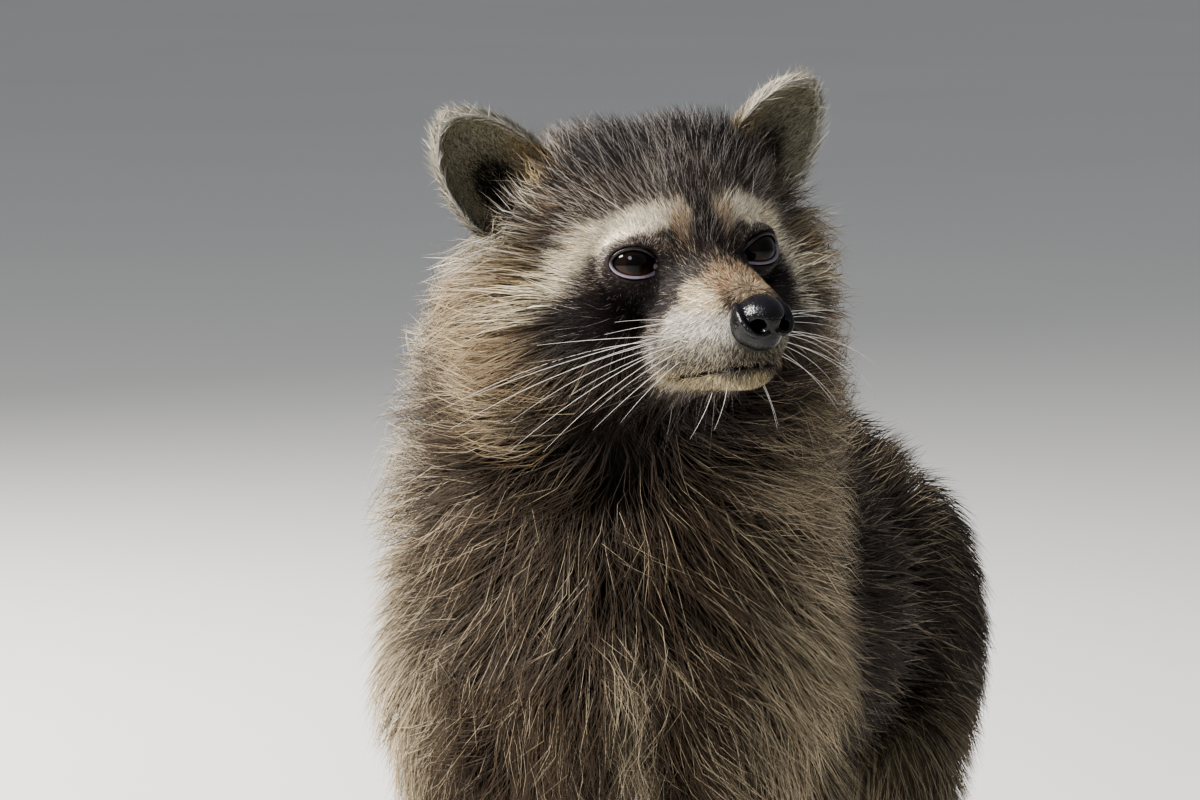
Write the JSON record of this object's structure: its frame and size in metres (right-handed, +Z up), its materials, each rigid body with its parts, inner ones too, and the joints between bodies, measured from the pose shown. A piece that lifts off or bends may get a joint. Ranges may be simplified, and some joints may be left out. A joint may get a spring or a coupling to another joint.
{
  "type": "raccoon",
  "caption": "Life-size standing raccoon, a still display model: masked face turned to its left, pointed ears, shaggy grizzled coat, ringed bushy tail, five-fingered paws flat on the floor.",
  "frame": {"origin": "on the floor, under the middle of the box round the whole animal", "axes": "+Z up; -Y is the way the body faces, so +Y runs from the breast to the tail; +X is the animal's left"},
  "size_m": [0.206, 0.6668, 0.3905],
  "materials": {
    "coat_grizzled": "long, coarse, grizzled fur, matt",
    "coat_face": "short, dense fur, matt",
    "coat_ruff": "long, shaggy fur, matt",
    "coat_ear": "very short fur, matt",
    "coat_legs": "short, dense fur, matt",
    "coat_feet": "very short fur, matt",
    "coat_tail": "bushy, ringed fur, matt",
    "coat_tail_tip": "bushy fur, matt",
    "eye": "wet and glossy",
    "nose": "bare, damp skin, slightly glossy"
  },
  "bodies": {
    "root": {"head": "coat_face", "lower_jaw": "coat_face", "nose": "nose", "ear_left": "coat_ear", "ear_right": "coat_ear", "eye_left": "eye", "eye_right": "eye", "neck": "coat_ruff", "trunk": "coat_grizzled", "foreleg_left": "coat_legs", "forepaw_left": "coat_feet", "foreleg_right": "coat_legs", "forepaw_right": "coat_feet", "hindleg_left": "coat_legs", "hindfoot_left": "coat_feet", "hindleg_right": "coat_legs", "hindfoot_right": "coat_feet", "tail_base": "coat_tail", "tail_middle": "coat_tail", "tail_tip": "coat_tail_tip"}
  },
  "joints": []
}
